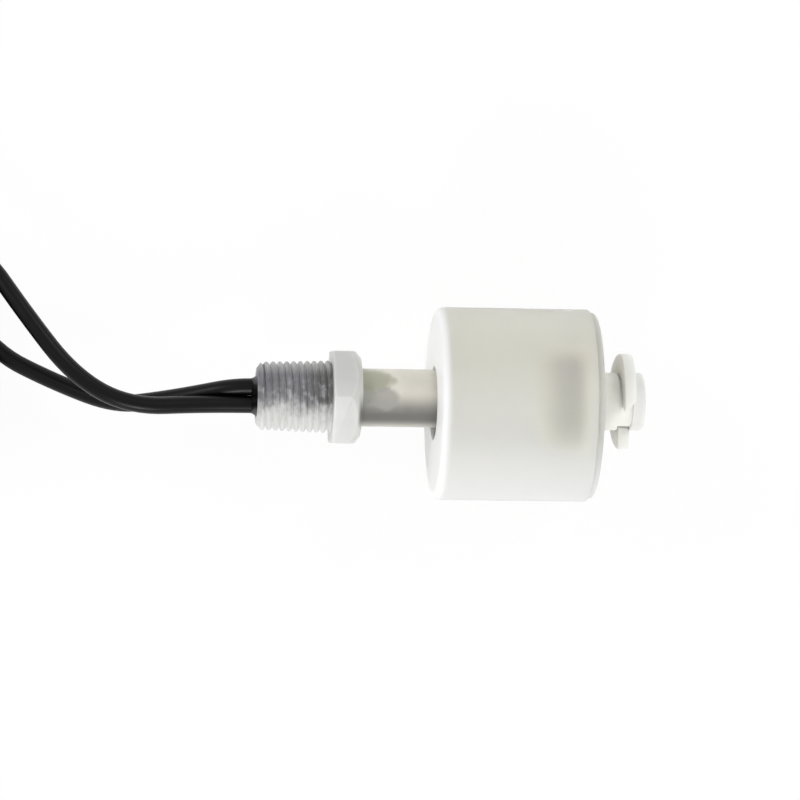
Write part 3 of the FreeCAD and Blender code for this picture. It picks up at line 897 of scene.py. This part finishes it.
def points_of_lead_b():
    """From the seal to the coil's lower two rows, ending straight beside the coil."""
    points = route(STEM_Y + LEAD_OFF, ROUTE_B)
    points.append(ring_point(ENTER_B, COIL_OUT_R, ROW_Z[1]))
    wind(points, (ENTER_B, COIL_OUT_R, ROW_Z[1]), two_layers(ENTER_B, ROW_Z[1], ROW_Z[0], TAIL_B_AT))
    heading = Vector((-sin(radians(TAIL_B_AT)), cos(radians(TAIL_B_AT)), 0))
    start = ring_point(TAIL_B_AT, COIL_OUT_R, ROW_Z[0])
    end = start + heading * TAIL_B_LENGTH
    end.z = LEAD_R
    return points + [start + (end - start) * 0.5, end]


def make_leads():
    for obj, exit_y, nodes, bare in (
        (
            lead_curve("lead_a_cord", points_of_lead_a()),
            STEM_Y - LEAD_OFF,
            ("lead_a", "lead_a_coil", "lead_a_tail"),
            "lead_a_bare_end",
        ),
        (
            lead_curve("lead_b_cord", points_of_lead_b()),
            STEM_Y + LEAD_OFF,
            ("lead_b", "lead_b_coil", "lead_b_tail"),
            "lead_b_bare_end",
        ),
    ):
        dress(obj, PLAIN["black_pvc"], "stem", "black_pvc", *nodes)
        spline_length(obj)


# --- setting ---
def make_camera():
    forward = Vector((sin(CAMERA_YAW), 0, -cos(CAMERA_YAW)))
    level = Vector((cos(CAMERA_YAW), 0, sin(CAMERA_YAW)))
    north = Vector((0, 1, 0))
    right = level * cos(CAMERA_ROLL) + north * sin(CAMERA_ROLL)
    up = north * cos(CAMERA_ROLL) - level * sin(CAMERA_ROLL)
    data = bpy.data.cameras.new("camera")
    data.lens = CAMERA_LENS
    data.sensor_width = SENSOR_WIDTH
    camera = bpy.data.objects.new("camera", data)
    turn = Matrix((right, up, -forward)).transposed()
    camera.matrix_world = Matrix.Translation(AIM - forward * CAMERA_AWAY) @ turn.to_4x4()
    bpy.context.scene.collection.objects.link(camera)
    bpy.context.scene.camera = camera


def make_floor():
    deselect()
    bpy.ops.mesh.primitive_plane_add(size=FLOOR_SIZE, location=(0, 0, 0))
    floor = bpy.context.object
    floor.name = "floor"
    finish = Finish("white_floor", Roughness=0.9)
    finish.set("Base Color", finish.mix(finish.noise(0.2), tone(250, 250, 250), tone(247, 247, 247)))
    ray = finish.node("ShaderNodeLightPath", {}, {}, "Is Camera Ray")
    glow = finish.node("ShaderNodeEmission", {}, {"Color": (1, 1, 1, 1), "Strength": 1.0})
    finish.show(finish.blend(ray * FLOOR_GLOW, finish.surface(), glow))
    floor.data.materials.append(finish.material)


def area_light(name, place, size, power):
    data = bpy.data.lights.new(name, "AREA")
    data.shape = "DISK"
    data.size = size
    data.energy = power
    lamp = bpy.data.objects.new(name, data)
    lamp.location = place
    lamp.rotation_euler = (AIM - Vector(place)).to_track_quat("-Z", "Y").to_euler()
    bpy.context.scene.collection.objects.link(lamp)


def make_light():
    world = bpy.data.worlds.new("studio")
    world.use_nodes = True
    background = world.node_tree.nodes["Background"]
    background.inputs["Color"].default_value = (1, 1, 1, 1)
    background.inputs["Strength"].default_value = WORLD_LEVEL
    bpy.context.scene.world = world
    for lamp in LAMPS:
        area_light(*lamp)


NODE_FINISH = {
    "resin_fill": "potting_resin",
    "reed_glass": "reed_glass",
    "near_reed": "reed_metal",
    "far_reed": "reed_metal",
    "near_solder_joint": "solder",
    "far_solder_joint": "solder",
    "lead_a_insulation": "black_pvc",
    "lead_b_insulation": "black_pvc",
    "lead_a_conductor": "tinned_copper",
    "lead_b_conductor": "tinned_copper",
    "lead_a_bare_end": "tinned_copper",
    "lead_b_bare_end": "tinned_copper",
    "coil_tie": "tie_nylon",
}

make_camera()
make_leads()
make_stem()
float_material = float_finish()
make_shell(float_material)
make_cap(float_material)
make_magnet()
make_clip()
make_seal()
for node, finish_name in NODE_FINISH.items():
    data = frame_object(node).data
    data.materials.clear()
    data.materials.append(PLAIN[finish_name])
make_floor()
make_light()
bpy.context.scene.view_settings.view_transform = "Standard"

bpy.context.view_layer.update()
